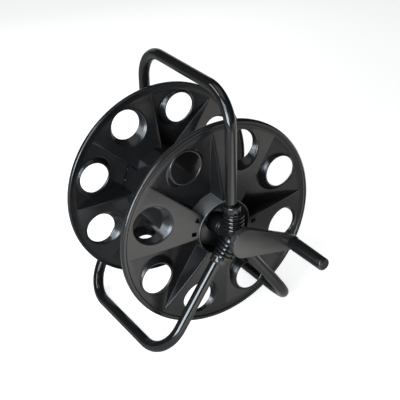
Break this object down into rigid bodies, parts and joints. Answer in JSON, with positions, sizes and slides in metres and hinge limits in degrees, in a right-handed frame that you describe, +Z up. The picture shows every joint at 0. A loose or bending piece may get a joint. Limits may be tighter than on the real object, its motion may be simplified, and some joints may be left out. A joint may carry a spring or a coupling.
{
  "type": "portable hose reel",
  "caption": "Portable garden hose reel: a spoked plastic drum with a hand crank, turning in a stand of bent steel tubes with a carrying handle.",
  "frame": {"origin": "on the floor, straight below the middle of the axle", "axes": "+X to the right seen from the crank, +Y along the axle away from the crank, +Z up"},
  "size_m": [0.38, 0.4604, 0.4766],
  "materials": {
    "tube_paint": "gloss black powder coat",
    "hub_plastic": "gloss black moulding",
    "bush_plastic": "natural acetal",
    "screw_steel": "zinc plated",
    "pin_steel": "turned steel",
    "drum_plastic": "satin black polypropylene",
    "fitting_plastic": "satin black nylon",
    "seal_rubber": "matte black nitrile",
    "crank_plastic": "polished charcoal moulding",
    "grip_plastic": "smooth black moulding"
  },
  "bodies": {
    "stand": {"handle_tube": "tube_paint", "left_foot_tube": "tube_paint", "right_foot_tube": "tube_paint", "front_hub": "hub_plastic", "rear_hub": "hub_plastic", "front_bush": "bush_plastic", "rear_bush": "bush_plastic", "front_tube_screws": "screw_steel", "rear_tube_screws": "screw_steel"},
    "drum": {"front_flange": "drum_plastic", "rear_flange": "drum_plastic", "drum_barrel": "drum_plastic", "front_spindle": "fitting_plastic", "rear_spindle": "fitting_plastic", "front_spindle_screws": "screw_steel", "rear_spindle_screws": "screw_steel", "front_thrust_washer": "bush_plastic", "rear_thrust_washer": "bush_plastic", "outlet_elbow": "fitting_plastic", "outlet_seal": "seal_rubber", "crank_arm": "crank_plastic", "crank_bolt": "screw_steel", "grip_pin": "pin_steel", "inlet_seals": "seal_rubber", "inlet_clip": "screw_steel"},
    "grip": {"grip": "grip_plastic", "grip_cap": "grip_plastic"},
    "inlet": {"inlet_elbow": "fitting_plastic", "inlet_cap": "fitting_plastic"}
  },
  "joints": [
    {"name": "drum_turn", "type": "hinge", "parent": "stand", "child": "drum", "pos_m": [0, 0, 0.21561], "axis": [0, 1, 0], "continuous": true},
    {"name": "grip_spin", "type": "hinge", "parent": "drum", "child": "grip", "pos_m": [0.09863, -0.22, 0.18261], "axis": [0, 1, 0], "continuous": true},
    {"name": "inlet_swivel", "type": "hinge", "parent": "stand", "child": "inlet", "pos_m": [0, 0.1777, 0.21561], "axis": [0, 1, 0], "continuous": true}
  ]
}
